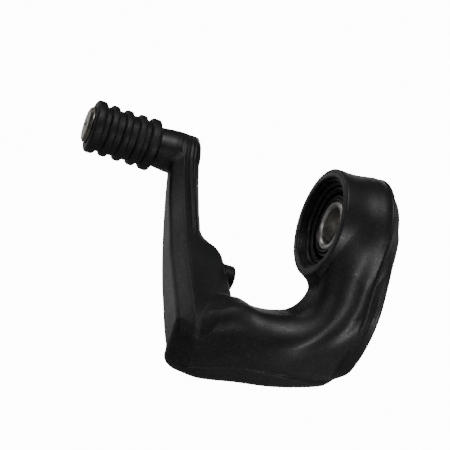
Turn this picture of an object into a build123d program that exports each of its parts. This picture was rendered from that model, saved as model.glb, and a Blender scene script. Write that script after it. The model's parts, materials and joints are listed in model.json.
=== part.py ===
"""Motorcycle gear shift lever: a cast arm that turns on a sleeve, with a ribbed toe peg.

Millimetres.  The origin is the centre of the pivot bore.  +X points inboard along the pivot axis,
+Y forward along the motorcycle and +Z up.
"""

import os
from math import cos, pi, radians, sin

from build123d import *

# Pivot bearing: one sleeve through a drawn-cup needle bearing, with a seal at each end.
SLEEVE_OUTER_R = 10.0
SLEEVE_BORE_R = 7.5
SLEEVE_STAND = 0.4
SLEEVE_CHAMFER = 0.6
RUNNING_GAP = 0.03
LIP_GAP = 0.05
NEEDLE_R = 0.985
NEEDLE_SPACING = 3.1
BEARING_WALL = 1.0
BEARING_LENGTH = 12.0
BEARING_LIP_GAP = 1.2
CAGE_THICKNESS = 1.1
END_PLAY = 0.2
OUTBOARD_SEAL_STEP = 3.0
OUTBOARD_SEAL_LENGTH = 5.0
INBOARD_SEAL_LENGTH = 4.4
CASE_THICKNESS = 0.6
CASE_COVER = 1.0
CASE_REACH = 2.4
CASE_SET_IN = 0.8
INNER_CASE_COVER = 0.6
INNER_CASE_REACH = 1.2
SPRING_WIRE_R = 0.6
SPRING_STAND = 2.0
SPRING_SET_IN = 1.6
SKIN = 0.5
LIP_RISE = 0.7
LIP_WIDTH = 1.0

# Cup and back plate of the cast arm.
MOUTH_DEPTH = 1.6
MOUTH_STEP = 0.9
SPIGOT_DEPTH = 1.6
SPIGOT_STEP = 1.4
SEAL_SET_IN = 4.4
CUP_WALL = 3.5
CUT_CLEARANCE = 2.0
PLATE_THICKNESS = 5.8
COLLAR_STEP = 1.6
BACK_WALL = 4.5
PLATE_BOTTOM = 58.0
PLATE_FORWARD = 14.0
PLATE_FOOT = 9.0
PLATE_EDGE = 0.4

# Beam of the arm, from under the cup to the foot of the leg.
BEAM_WIDTH = 22.8
BEAM_DEPTH = 25.0
BEAM_HEIGHT = 28.6
BEAM_ROUND = 8.0
BEAM_STAND = 0.2
BEAM_SET_IN = 1.2
BEND_STEP = 15
HUB_OVERLAP = 12.0
ROOT_WIDTH = 17.0
GAP_CORNER_R = 8.0
GAP_FLOOR = 38.0

# Foot of the leg, where the beam turns forward.
# Each station is (in from the outboard face, rear, front, top, bottom).
FOOT_STATIONS = [
    (18.0, -13.0, 12.0, -39.0, -69.8),
    (6.0, -3.6, 14.0, -49.0, -70.4),
    (0.0, 3.0, 13.0, -54.0, -68.6),
]
FOOT_ROUND = 4.0

# Leg and toe peg.  Each leg station is (forward, up, angle above forward, thickness).
LEG_OUTBOARD = 58.0
LEG_WIDTH = 14.4
PAD_WIDTH = 23.6
PAD_STATIONS = [
    (0.0, -58.5, 29, 16.0),
    (20.0, -47.6, 31, 16.5),
    (36.0, -37.8, 36, 15.0),
    (44.0, -32.0, 38, 14.4),
]
LEG_STATIONS = [(54.0, -24.2, 40, 13.6), (66.0, -14.2, 41, 13.2)]
LEG_TOP_ANGLE = 42
LEG_TOP_THICKNESS = 16.0
LEG_ROUND = 3.5
PEG_FORWARD = 97.0
PEG_UP = 14.0
EYE_R = 10.2
EYE_WIDTH = 13.5
EYE_ROUND = 2.5
STUB_ROOT_R = 10.4
STUB_END_R = 9.4
STUB_LENGTH = 7.5
PEG_LENGTH = 32.0
PEG_RIBS = 5
RIB_R = 12.5
GROOVE_DEPTH = 1.7
END_RIB_WIDTH = 5.2
RIB_WIDTH = 4.2
RIB_ROUND = 1.4
PIN_R = 6.0
PIN_GRIP_R = 5.0
PIN_GRIP_LENGTH = 13.0
PIN_END_PLAY = 0.5
HEAD_R = 8.75
HEAD_THICKNESS = 2.0
HEAD_ROUND = 0.8

# Boss for the ball stud of the gearbox linkage.
BOSS_FORWARD = 36.0
BOSS_DOWN = 33.0
BOSS_R = 5.5
BOSS_HEIGHT = 3.4
BOSS_ROOT = 8.0
STUD_HOLE_R = 2.5
STUD_HOLE_DEPTH = 14.0

os.makedirs("parts", exist_ok=True)


def section(x, y, z, normal, across):
    """Plane at a station of the arm, with its first axis along `across`."""
    return Plane(origin=(x, y, z), x_dir=across, z_dir=normal)


def tilt(angle):
    """Unit vector in the YZ plane, `angle` degrees above forward."""
    return (0, cos(radians(angle)), sin(radians(angle)))


def lean(angle):
    """Unit vector in the XZ plane, `angle` degrees from straight down towards outboard."""
    return (-sin(radians(angle)), 0, -cos(radians(angle)))


BEARING_START = -BEARING_LENGTH / 2
BEARING_END = BEARING_START + BEARING_LENGTH
BEARING_MIDDLE = (BEARING_START + BEARING_END) / 2
NEEDLE_PITCH_R = SLEEVE_OUTER_R + RUNNING_GAP + NEEDLE_R
NEEDLE_COUNT = int(2 * pi * NEEDLE_PITCH_R / NEEDLE_SPACING)
NEEDLE_LENGTH = BEARING_LENGTH - 2 * BEARING_WALL - 2 * END_PLAY
BEARING_OUTER_R = NEEDLE_PITCH_R + NEEDLE_R + BEARING_WALL
SEAL_BACK = BEARING_START - END_PLAY
SEAL_FACE = SEAL_BACK - OUTBOARD_SEAL_LENGTH
OUTBOARD_SEAL_R = BEARING_OUTER_R + OUTBOARD_SEAL_STEP
STEP_R = OUTBOARD_SEAL_R + SPIGOT_STEP
MOUTH_R = STEP_R + MOUTH_STEP
CUP_OUTER_R = MOUTH_R + CUP_WALL
CUP_RIM = SEAL_FACE - SEAL_SET_IN
COLLAR_R = CUP_OUTER_R + COLLAR_STEP
BACK_R = BEARING_OUTER_R + BACK_WALL
PLATE_BACK = BEARING_END + INBOARD_SEAL_LENGTH
PLATE_FRONT = PLATE_BACK - PLATE_THICKNESS
PLATE_REAR = COLLAR_R - PLATE_EDGE
SLEEVE_END = PLATE_BACK + SLEEVE_STAND
STUB_END = -LEG_OUTBOARD - STUB_LENGTH
PEG_END = STUB_END - PEG_LENGTH
LEG_MIDDLE = -LEG_OUTBOARD + LEG_WIDTH / 2
EYE_MIDDLE = -LEG_OUTBOARD + EYE_WIDTH / 2
PAD_MIDDLE = -LEG_OUTBOARD + PAD_WIDTH / 2
PAD_FACE = -LEG_OUTBOARD + PAD_WIDTH
BOSS_FACE = PAD_FACE + BOSS_HEIGHT
BEAM_REAR = CUP_OUTER_R + BEAM_STAND
BEAM_OUTBOARD = PLATE_BACK - BEAM_SET_IN - BEAM_WIDTH
BEAM_MIDDLE = -BEAM_REAR + BEAM_DEPTH / 2
ROOT_MIDDLE = PLATE_BACK - BEAM_SET_IN - ROOT_WIDTH / 2
GROOVE_R = RIB_R - GROOVE_DEPTH
YZ_AT_PEG = Plane(origin=(0, PEG_FORWARD, PEG_UP), x_dir=(0, 1, 0), z_dir=(1, 0, 0))
YZ_AT_BOSS = Plane(origin=(0, BOSS_FORWARD, -BOSS_DOWN), x_dir=(0, 1, 0), z_dir=(1, 0, 0))


# Cast arm -------------------------------------------------------------------------------------

with BuildPart() as lever_arm:
    # Cup round the bearing, and the plate behind it.
    with BuildSketch(Plane.YZ.offset(CUP_RIM)):
        Circle(CUP_OUTER_R)
    extrude(amount=PLATE_FRONT - CUP_RIM)
    with BuildSketch(Plane.YZ):
        Circle(COLLAR_R)
    extrude(amount=PLATE_FRONT)
    with BuildSketch(Plane.YZ.offset(PLATE_FRONT)):
        Circle(COLLAR_R)
    with BuildSketch(Plane.YZ.offset(PLATE_BACK)):
        Circle(BACK_R)
    loft()
    with BuildSketch(Plane.YZ.offset(PLATE_FRONT)):
        with BuildLine():
            rear = ThreePointArc((-BACK_R + 1, 4), (-PLATE_REAR, -20), (-PLATE_REAR + 4, -38))
            lower = TangentArc(rear @ 1, (-PLATE_FOOT, -PLATE_BOTTOM + 4), tangent=rear % 1)
            foot = ThreePointArc(lower @ 1, (-2, -PLATE_BOTTOM), (PLATE_FOOT - 4, -PLATE_BOTTOM + 6))
            front = Line(foot @ 1, (PLATE_FORWARD, -20))
            side = Line(front @ 1, (PLATE_FORWARD, 4))
            Line(side @ 1, rear @ 0)
        make_face()
    extrude(amount=PLATE_BACK - PLATE_FRONT)

    # Eye and stub that carry the peg.
    with BuildSketch(YZ_AT_PEG.offset(-LEG_OUTBOARD)):
        Circle(EYE_R)
    extrude(amount=EYE_WIDTH)
    fillet(lever_arm.edges().filter_by(GeomType.CIRCLE).group_by(Axis.Y)[-1].sort_by(Axis.X)[-1], EYE_ROUND)
    with BuildSketch(YZ_AT_PEG.offset(STUB_END)):
        Circle(STUB_END_R)
    with BuildSketch(YZ_AT_PEG.offset(-LEG_OUTBOARD + 1)):
        Circle(STUB_ROOT_R)
    loft()

    # Beam: down from the cup, round the bend and outboard below the gap.
    with BuildSketch(section(ROOT_MIDDLE, BEAM_MIDDLE, -HUB_OVERLAP, lean(0), (0, 1, 0))):
        RectangleRounded(BEAM_DEPTH, ROOT_WIDTH, BEAM_ROUND)
    for angle in range(0, 91, BEND_STEP):
        width = BEAM_WIDTH + (BEAM_HEIGHT - BEAM_WIDTH) * angle / 90
        radius = GAP_CORNER_R + width / 2
        bend_x = BEAM_OUTBOARD - GAP_CORNER_R + radius * cos(radians(angle))
        bend_z = GAP_CORNER_R - GAP_FLOOR - radius * sin(radians(angle))
        with BuildSketch(section(bend_x, BEAM_MIDDLE, bend_z, lean(angle), (0, 1, 0))):
            RectangleRounded(BEAM_DEPTH, width, BEAM_ROUND)
    for inward, rear_y, front_y, top_z, bottom_z in FOOT_STATIONS:
        middle = ((rear_y + front_y) / 2, (top_z + bottom_z) / 2)
        with BuildSketch(section(-LEG_OUTBOARD + inward, *middle, lean(90), (0, 1, 0))):
            RectangleRounded(front_y - rear_y, top_z - bottom_z, FOOT_ROUND)
    loft(ruled=True)

    # Leg: from the foot up to the pad, then tapering to the eye at the peg.
    for forward, up, angle, thickness in PAD_STATIONS:
        with BuildSketch(section(PAD_MIDDLE, forward, up, tilt(angle), (1, 0, 0))):
            RectangleRounded(PAD_WIDTH, thickness, LEG_ROUND)
    for forward, up, angle, thickness in LEG_STATIONS:
        with BuildSketch(section(LEG_MIDDLE, forward, up, tilt(angle), (1, 0, 0))):
            RectangleRounded(LEG_WIDTH, thickness, LEG_ROUND)
    with BuildSketch(section(EYE_MIDDLE, PEG_FORWARD, PEG_UP, tilt(LEG_TOP_ANGLE), (1, 0, 0))):
        RectangleRounded(EYE_WIDTH, LEG_TOP_THICKNESS, LEG_ROUND)
    loft(ruled=True)

    # Boss for the ball stud, on the inboard face of the pad.
    with BuildSketch(YZ_AT_BOSS.offset(PAD_FACE - BOSS_ROOT)):
        Circle(BOSS_R)
    extrude(amount=BOSS_ROOT + BOSS_HEIGHT)

    # Bores: mouth, step, seal seat and bearing seat, then the peg and stud holes.
    with BuildSketch(Plane.YZ.offset(CUP_RIM - CUT_CLEARANCE)):
        Circle(MOUTH_R)
    extrude(amount=CUT_CLEARANCE + MOUTH_DEPTH, mode=Mode.SUBTRACT)
    with BuildSketch(Plane.YZ.offset(CUP_RIM - CUT_CLEARANCE)):
        Circle(STEP_R)
    extrude(amount=CUT_CLEARANCE + MOUTH_DEPTH + SPIGOT_DEPTH, mode=Mode.SUBTRACT)
    with BuildSketch(Plane.YZ.offset(CUP_RIM - CUT_CLEARANCE)):
        Circle(OUTBOARD_SEAL_R)
    extrude(amount=CUT_CLEARANCE + SEAL_BACK - CUP_RIM, mode=Mode.SUBTRACT)
    with BuildSketch(Plane.YZ.offset(CUP_RIM - CUT_CLEARANCE)):
        Circle(BEARING_OUTER_R)
    extrude(amount=2 * CUT_CLEARANCE + PLATE_BACK - CUP_RIM, mode=Mode.SUBTRACT)
    with BuildSketch(YZ_AT_PEG.offset(STUB_END)):
        Circle(PIN_GRIP_R)
    extrude(amount=PIN_GRIP_LENGTH + PIN_END_PLAY, mode=Mode.SUBTRACT)
    with BuildSketch(YZ_AT_BOSS.offset(BOSS_FACE)):
        Circle(STUD_HOLE_R)
    extrude(amount=-STUD_HOLE_DEPTH, mode=Mode.SUBTRACT)

lever_arm.part.label = "lever_arm"
export_step(lever_arm.part, "parts/lever_arm.step")


# Pivot sleeve ---------------------------------------------------------------------------------

with BuildPart() as pivot_sleeve:
    with BuildSketch(Plane.YZ.offset(-SLEEVE_END)):
        Circle(SLEEVE_OUTER_R)
        Circle(SLEEVE_BORE_R, mode=Mode.SUBTRACT)
    extrude(amount=2 * SLEEVE_END)
    chamfer(pivot_sleeve.edges().filter_by(GeomType.CIRCLE), SLEEVE_CHAMFER)

pivot_sleeve.part.label = "pivot_sleeve"
export_step(pivot_sleeve.part, "parts/pivot_sleeve.step")


# Needle bearing -------------------------------------------------------------------------------

with BuildPart() as bearing_shell:
    with BuildSketch(Plane.YZ.offset(BEARING_START)):
        Circle(BEARING_OUTER_R)
        Circle(SLEEVE_OUTER_R + BEARING_LIP_GAP, mode=Mode.SUBTRACT)
    extrude(amount=BEARING_LENGTH)
    with BuildSketch(Plane.YZ.offset(BEARING_START + BEARING_WALL)):
        Circle(BEARING_OUTER_R - BEARING_WALL)
    extrude(amount=BEARING_LENGTH - 2 * BEARING_WALL, mode=Mode.SUBTRACT)

bearing_shell.part.label = "bearing_shell"
export_step(bearing_shell.part, "parts/bearing_shell.step")

with BuildPart() as bearing_needles:
    with BuildSketch(Plane.YZ.offset(BEARING_MIDDLE - NEEDLE_LENGTH / 2)):
        with PolarLocations(NEEDLE_PITCH_R, NEEDLE_COUNT):
            Circle(NEEDLE_R)
    extrude(amount=NEEDLE_LENGTH)

bearing_needles.part.label = "bearing_needles"
export_step(bearing_needles.part, "parts/bearing_needles.step")

CAGE_LENGTH = BEARING_LENGTH - 2 * BEARING_WALL - END_PLAY
with BuildPart() as bearing_cage:
    with BuildSketch(Plane.YZ.offset(BEARING_MIDDLE - CAGE_LENGTH / 2)):
        Circle(NEEDLE_PITCH_R + CAGE_THICKNESS / 2)
        Circle(NEEDLE_PITCH_R - CAGE_THICKNESS / 2, mode=Mode.SUBTRACT)
    extrude(amount=CAGE_LENGTH)
    with BuildSketch(Plane.YZ.offset(BEARING_MIDDLE - NEEDLE_LENGTH / 2)):
        with PolarLocations(NEEDLE_PITCH_R, NEEDLE_COUNT):
            Circle(NEEDLE_R + RUNNING_GAP)
    extrude(amount=NEEDLE_LENGTH, mode=Mode.SUBTRACT)

bearing_cage.part.label = "bearing_cage"
export_step(bearing_cage.part, "parts/bearing_cage.step")


# Seals ----------------------------------------------------------------------------------------

CASE_R = OUTBOARD_SEAL_R - CASE_COVER
CASE_INNER_R = SLEEVE_OUTER_R + CASE_REACH
CASE_FACE = SEAL_FACE + CASE_SET_IN
with BuildPart() as seal_outboard_case:
    with BuildSketch(Plane.XY):
        with BuildLine():
            Polyline(
                (CASE_FACE, CASE_INNER_R),
                (CASE_FACE, CASE_R),
                (SEAL_BACK, CASE_R),
                (SEAL_BACK, CASE_R - CASE_THICKNESS),
                (CASE_FACE + CASE_THICKNESS, CASE_R - CASE_THICKNESS),
                (CASE_FACE + CASE_THICKNESS, CASE_INNER_R),
                close=True,
            )
        make_face()
    revolve(axis=Axis.X)

seal_outboard_case.part.label = "seal_outboard_case"
export_step(seal_outboard_case.part, "parts/seal_outboard_case.step")

SPRING_X = SEAL_BACK - SPRING_SET_IN
SPRING_R = SLEEVE_OUTER_R + SPRING_STAND
with BuildPart() as seal_outboard_spring:
    with BuildSketch(Plane.XY):
        with Locations((SPRING_X, SPRING_R)):
            Circle(SPRING_WIRE_R)
    revolve(axis=Axis.X)

seal_outboard_spring.part.label = "seal_outboard_spring"
export_step(seal_outboard_spring.part, "parts/seal_outboard_spring.step")

LIP_R = SLEEVE_OUTER_R + LIP_GAP
RUBBER_BACK_R = CASE_R - CASE_THICKNESS - SKIN
RUBBER_FRONT = CASE_FACE + CASE_THICKNESS + SKIN
with BuildPart() as seal_outboard_rubber:
    with BuildSketch(Plane.XY):
        with BuildLine():
            Polyline(
                (SEAL_FACE, LIP_R),
                (SEAL_FACE, OUTBOARD_SEAL_R),
                (SEAL_BACK, OUTBOARD_SEAL_R),
                (SEAL_BACK, RUBBER_BACK_R),
                (RUBBER_FRONT, RUBBER_BACK_R),
                (RUBBER_FRONT, SPRING_R + SPRING_WIRE_R),
                (SPRING_X - LIP_WIDTH, SPRING_R + SPRING_WIRE_R / 2),
                (SPRING_X, SPRING_R),
                (SPRING_X + LIP_WIDTH, SPRING_R + SPRING_WIRE_R / 2),
                (SPRING_X + LIP_WIDTH, LIP_R + LIP_WIDTH),
                (SPRING_X, LIP_R),
                (SPRING_X - LIP_WIDTH, LIP_R + LIP_RISE),
                (SEAL_FACE + LIP_WIDTH, LIP_R + LIP_RISE),
                close=True,
            )
        make_face()
    revolve(axis=Axis.X)
    add(seal_outboard_case.part, mode=Mode.SUBTRACT)
    add(seal_outboard_spring.part, mode=Mode.SUBTRACT)

seal_outboard_rubber.part.label = "seal_outboard_rubber"
export_step(seal_outboard_rubber.part, "parts/seal_outboard_rubber.step")

INNER_CASE_FACE = PLATE_BACK - INNER_CASE_COVER
INNER_CASE_START = BEARING_END + INNER_CASE_COVER
INNER_CASE_R = BEARING_OUTER_R - INNER_CASE_COVER
INNER_CASE_LIP_R = SLEEVE_OUTER_R + INNER_CASE_REACH
with BuildPart() as seal_inboard_case:
    with BuildSketch(Plane.XY):
        with BuildLine():
            Polyline(
                (INNER_CASE_START, INNER_CASE_R),
                (INNER_CASE_FACE, INNER_CASE_R),
                (INNER_CASE_FACE, INNER_CASE_LIP_R),
                (INNER_CASE_FACE - CASE_THICKNESS, INNER_CASE_LIP_R),
                (INNER_CASE_FACE - CASE_THICKNESS, INNER_CASE_R - CASE_THICKNESS),
                (INNER_CASE_START, INNER_CASE_R - CASE_THICKNESS),
                close=True,
            )
        make_face()
    revolve(axis=Axis.X)

seal_inboard_case.part.label = "seal_inboard_case"
export_step(seal_inboard_case.part, "parts/seal_inboard_case.step")

RUBBER_ROOT_R = INNER_CASE_R - CASE_THICKNESS - SKIN
with BuildPart() as seal_inboard_rubber:
    with BuildSketch(Plane.XY):
        with BuildLine():
            Polyline(
                (BEARING_END, BEARING_OUTER_R),
                (PLATE_BACK, BEARING_OUTER_R),
                (PLATE_BACK, LIP_R),
                (PLATE_BACK - SKIN, LIP_R),
                (PLATE_BACK - SKIN - LIP_WIDTH, LIP_R + LIP_RISE),
                (PLATE_BACK - SKIN - 2 * LIP_WIDTH, LIP_R),
                (PLATE_BACK - 2 * SKIN - 2 * LIP_WIDTH, LIP_R),
                (PLATE_BACK - 2 * SKIN - 2 * LIP_WIDTH, LIP_R + LIP_WIDTH),
                (INNER_CASE_START, RUBBER_ROOT_R),
                (BEARING_END, RUBBER_ROOT_R),
                close=True,
            )
        make_face()
    revolve(axis=Axis.X)
    add(seal_inboard_case.part, mode=Mode.SUBTRACT)

seal_inboard_rubber.part.label = "seal_inboard_rubber"
export_step(seal_inboard_rubber.part, "parts/seal_inboard_rubber.step")


# Toe peg --------------------------------------------------------------------------------------

with BuildPart() as peg_pin:
    with BuildSketch(YZ_AT_PEG.offset(STUB_END + PIN_GRIP_LENGTH)):
        Circle(PIN_GRIP_R)
    extrude(amount=-PIN_GRIP_LENGTH)
    with BuildSketch(YZ_AT_PEG.offset(STUB_END)):
        Circle(PIN_R)
    extrude(amount=-PEG_LENGTH)
    with BuildSketch(YZ_AT_PEG.offset(PEG_END)):
        Circle(HEAD_R)
    extrude(amount=-HEAD_THICKNESS)
    fillet(peg_pin.edges().filter_by(GeomType.CIRCLE).group_by(Axis.X)[0], HEAD_ROUND)

peg_pin.part.label = "peg_pin"
export_step(peg_pin.part, "parts/peg_pin.step")

RIB_PITCH = (PEG_LENGTH - END_RIB_WIDTH) / (PEG_RIBS - 1)
RIB_CENTRES = [PEG_END + END_RIB_WIDTH / 2 + i * RIB_PITCH for i in range(PEG_RIBS)]
with BuildPart() as peg_rubber:
    with BuildSketch(YZ_AT_PEG.offset(PEG_END)):
        Circle(GROOVE_R)
    extrude(amount=PEG_LENGTH)
    for i, centre in enumerate(RIB_CENTRES):
        width = END_RIB_WIDTH if i in (0, PEG_RIBS - 1) else RIB_WIDTH
        with BuildSketch(YZ_AT_PEG.offset(centre - width / 2)):
            Circle(RIB_R)
        extrude(amount=width)
    round_edges = peg_rubber.edges().filter_by(GeomType.CIRCLE)
    rims = round_edges.filter_by(lambda rim: rim.radius > GROOVE_R + GROOVE_DEPTH / 2)
    fillet(rims, RIB_ROUND)
    with BuildSketch(YZ_AT_PEG.offset(PEG_END)):
        Circle(PIN_R)
    extrude(amount=PEG_LENGTH, mode=Mode.SUBTRACT)

peg_rubber.part.label = "peg_rubber"
export_step(peg_rubber.part, "parts/peg_rubber.step")
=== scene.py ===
"""Looks of a motorcycle gear shift lever, laid out as an add-on that builds each piece with one operator.

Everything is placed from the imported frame: metres, +X inboard along the pivot axis, +Y forward, +Z up, with
the origin at the centre of the pivot bore.  The shape functions below work in millimetres.
"""

import json
from math import cos, pi, radians, sin

import bpy
import numpy as np
from bpy.props import FloatProperty, FloatVectorProperty, IntProperty, PointerProperty
from bpy.types import Operator, Panel, PropertyGroup
from mathutils import Matrix, Vector


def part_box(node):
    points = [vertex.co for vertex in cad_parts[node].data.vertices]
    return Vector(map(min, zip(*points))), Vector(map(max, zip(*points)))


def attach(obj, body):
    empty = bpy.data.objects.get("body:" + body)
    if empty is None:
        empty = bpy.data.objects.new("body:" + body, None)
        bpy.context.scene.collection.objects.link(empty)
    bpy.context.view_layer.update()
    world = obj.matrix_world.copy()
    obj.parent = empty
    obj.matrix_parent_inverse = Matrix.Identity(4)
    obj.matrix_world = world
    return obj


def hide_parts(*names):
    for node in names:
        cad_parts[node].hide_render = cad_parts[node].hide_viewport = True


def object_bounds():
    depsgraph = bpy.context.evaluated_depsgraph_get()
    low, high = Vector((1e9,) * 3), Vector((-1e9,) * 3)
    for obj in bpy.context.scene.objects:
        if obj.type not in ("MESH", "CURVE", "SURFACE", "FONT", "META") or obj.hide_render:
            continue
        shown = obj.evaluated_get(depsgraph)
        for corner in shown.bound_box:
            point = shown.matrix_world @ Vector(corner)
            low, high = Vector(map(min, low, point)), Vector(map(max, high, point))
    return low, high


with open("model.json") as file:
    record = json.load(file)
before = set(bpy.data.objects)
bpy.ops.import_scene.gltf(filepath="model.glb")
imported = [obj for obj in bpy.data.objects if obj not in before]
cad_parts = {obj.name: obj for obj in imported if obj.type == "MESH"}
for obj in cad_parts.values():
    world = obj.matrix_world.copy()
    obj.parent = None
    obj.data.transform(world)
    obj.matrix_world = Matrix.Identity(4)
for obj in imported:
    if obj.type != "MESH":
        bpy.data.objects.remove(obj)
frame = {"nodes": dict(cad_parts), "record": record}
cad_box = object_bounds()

bl_info = {
    "name": "Gear Shift Lever",
    "version": (1, 0, 0),
    "blender": (4, 5, 0),
    "location": "View3D > Sidebar > Shift Lever",
    "description": "Builds the visible pieces, finishes and studio of a motorcycle gear shift lever",
    "category": "Object",
}

MM = 0.001
LEVER = "lever"
PIVOT = "pivot"


# Sizes read from the frame ---------------------------------------------------------------------

def span(node):
    """Lowest and highest corner of a CAD node, in millimetres."""
    low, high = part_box(node)
    return np.array(low) / MM, np.array(high) / MM


ARM_LOW, ARM_HIGH = span("lever_arm")
SLEEVE_LOW, SLEEVE_HIGH = span("pivot_sleeve")
SEAL_LOW, SEAL_HIGH = span("seal_outboard_rubber")
SHELL_HIGH = span("bearing_shell")[1]
RUBBER_LOW, RUBBER_HIGH = span("peg_rubber")
PIN_LOW, PIN_HIGH = span("peg_pin")
SLEEVE_R = SLEEVE_HIGH[2]
SEAL_R = SEAL_HIGH[2]
SHELL_R = SHELL_HIGH[2]
PLATE_BACK = float(ARM_HIGH[0])
PEG_Y, PEG_Z = (RUBBER_LOW[1:] + RUBBER_HIGH[1:]) / 2
PEG_R = (RUBBER_HIGH[2] - RUBBER_LOW[2]) / 2
HEAD_R = (PIN_HIGH[2] - PIN_LOW[2]) / 2
STUB_END = float(RUBBER_HIGH[0])
MOUNTS = {mount["name"]: mount for mount in frame["record"]["mounts"]}
SLEEVE_BORE_R = MOUNTS["pivot_bore"]["dims"]["r_mm"]
STEP_R = MOUNTS["cup_spigot"]["dims"]["r_mm"]
STUD_R = MOUNTS["ball_stud_thread"]["dims"]["r_mm"]
STUD_Y, STUD_Z = (value / MM for value in MOUNTS["ball_stud_thread"]["pos_m"][1:])


# Settings ---------------------------------------------------------------------------------------

class CastingSettings(PropertyGroup):
    """Sizes of the cast arm that a user may change."""

    cell: FloatProperty(name="Cell", description="Spacing of the surface mesh", default=0.5 * MM,
                        min=0.25 * MM, unit="LENGTH")
    blend: FloatProperty(name="Blend", description="Fillet where the cup meets the beam", default=5 * MM,
                         unit="LENGTH")
    hollow: FloatProperty(name="Hollow", description="Depth of the hollow between crest and flange",
                          default=1.5 * MM, unit="LENGTH")
    parting_line: FloatProperty(name="Parting line", description="Height of the line left by the mould",
                                default=0.35 * MM, unit="LENGTH")


class PegSettings(PropertyGroup):
    """Sizes of the ribbed toe peg that a user may change."""

    ribs: IntProperty(name="Ribs", description="Raised rings on the rubber", default=5, min=1)
    groove: FloatProperty(name="Groove", description="Depth of the grooves between ribs", default=1.8 * MM,
                          unit="LENGTH")
    grip_r: FloatProperty(name="Grip", description="Radius of the pin inside the rubber", default=6 * MM,
                          unit="LENGTH")


class FinishSettings(PropertyGroup):
    """Colours and grain of the finishes."""

    coat_colour: FloatVectorProperty(name="Coat", description="Colour of the powder coat", subtype="COLOR",
                                     default=(0.0075, 0.0075, 0.0085))
    rubber_colour: FloatVectorProperty(name="Rubber", description="Colour of the peg rubber", subtype="COLOR",
                                       default=(0.008, 0.008, 0.0088))
    steel_colour: FloatVectorProperty(name="Steel", description="Colour of the ground steel", subtype="COLOR",
                                      default=(0.70, 0.68, 0.65))
    alloy_colour: FloatVectorProperty(name="Alloy", description="Colour of the turned pin", subtype="COLOR",
                                      default=(0.28, 0.26, 0.22))
    grain: FloatProperty(name="Grain", description="Size of the powder coat's grain", default=0.35 * MM,
                         unit="LENGTH")


class StudioSettings(PropertyGroup):
    """Floor and light of the studio."""

    floor_colour: FloatVectorProperty(name="Floor", description="Colour of the floor", subtype="COLOR",
                                      default=(1.0, 1.0, 1.0))
    key_power: FloatProperty(name="Key light", description="Strength of the main softbox", default=3.0,
                             unit="POWER")
    lens: FloatProperty(name="Lens", description="Focal length", default=75.2, unit="CAMERA")


# Shape functions: every field is negative inside, in millimetres ----------------------------------

def round_join(a, b, radius):
    """Union of two fields with a concave fillet."""
    corner = np.hypot(np.maximum(radius - a, 0), np.maximum(radius - b, 0))
    return np.maximum(radius, np.minimum(a, b)) - corner


def round_cut(a, b, radius):
    """Intersection of two fields with a rounded edge."""
    corner = np.hypot(np.maximum(radius + a, 0), np.maximum(radius + b, 0))
    return np.minimum(-radius, np.maximum(a, b)) + corner


def ease(low, high, value):
    """Smooth step from 0 at `low` to 1 at `high`."""
    t = np.clip((value - low) / (high - low), 0, 1)
    return t * t * (3 - 2 * t)


def bump(value, centre, width):
    """Rounded rise of height 1 at `centre`."""
    return np.exp(-(((value - centre) / width) ** 2))


def curve(points, value):
    """Smooth curve through control points, held level beyond its ends."""
    at, height = np.array(points, float).T
    slope = np.gradient(height, at)
    i = np.clip(np.searchsorted(at, value) - 1, 0, len(at) - 2)
    step = at[i + 1] - at[i]
    t = np.clip((value - at[i]) / step, 0, 1)
    rest = 1 - t
    ends = height[i] * rest * rest * (1 + 2 * t) + height[i + 1] * t * t * (1 + 2 * rest)
    return ends + step * t * rest * (slope[i] * rest - slope[i + 1] * t)


# Cup and back of the hub.
CUP_RIM = -15.6
CUP_R = 21.8
MOUTH_R = 18.3
MOUTH_DEPTH = 1.6
STEP_DEPTH = 3.2
COLLAR_R = 23.2
COLLAR_X = 1.5
CRISP_X = 4.6
CRISP_R = COLLAR_R - 0.4
BACK_R = 17.5
HUB_OUTLINE = [(CUP_RIM, CUP_R), (-6, CUP_R + 0.2), (-2, COLLAR_R - 0.5), (COLLAR_X, COLLAR_R),
               (CRISP_X, CRISP_R)]
BEAD_X = CRISP_X - 0.2
BEAD_HEIGHT = 0.7
BEAD_WIDTH = 0.5
RIM_ROUND = 0.7
BACK_ROUND = 1.5
EDGE = 0.45
LINER_R = 20.2
LINER_OVERLAP = 0.4
PIN_GRIP_R = 5.0
PIN_GRIP_LENGTH = 13.5

# Beam. Depths are distances to the rear of the pivot; each curve lists (x, value) or (z, value).
GAP_SIDE = -13.4
GAP_CORNER = 8.0
GAP_FLOOR = [(-58, -52), (-52, -49), (-46, -43.5), (-41, -39.8), (-36, -38.2), (-31, -38.6), (-25.5, -37.9),
             (-19.8, -36.2), (-8, -32)]
BOTTOM = [(-58, -69.7), (-52, -70.3), (-45, -70.3), (-41, -69.5), (-34, -67.7), (-23, -65.8), (-12, -64.0),
          (0, -62.0), (12, -59.2)]
BEAM_TOP = 2.0
CORNER_R = 7.5
FOOT_X = -57.9
FOOT_ROUND = 4.0
FOOT_CLEAR = 14.0
CREST_R = [(-58, 5), (-52, 6.5), (-44, 9), (-36, 10.5), (-28, 10.5)]
FULL_DEPTH = 22.2
CREST_DEPTH = [(-58, -4.5), (-55, -1), (-52, 3), (-44, 9.5), (-36, 15), (-28, 19.5), (-20, 22),
               (0, FULL_DEPTH)]
CREST_END = [(-58, -56), (-45, -52), (-30, -50), (-20, -47.5), (-12, -42.5), (-5, -36), (4.6, -30)]
LINE_DEPTH = [(-58, -4.5), (-50, 4.5), (-40, 11), (-30, 16), (-20, 17.8), (-12, 16), (-5, 13), (4.6, 8.4)]
LINE_UP = [(-58, 1.2), (-50.6, 4.0), (-41.5, 6.3), (-32, 7.0), (-22, 6.4), (-12, 5.0), (-2, 3.2), (8, 2.6)]
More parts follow.
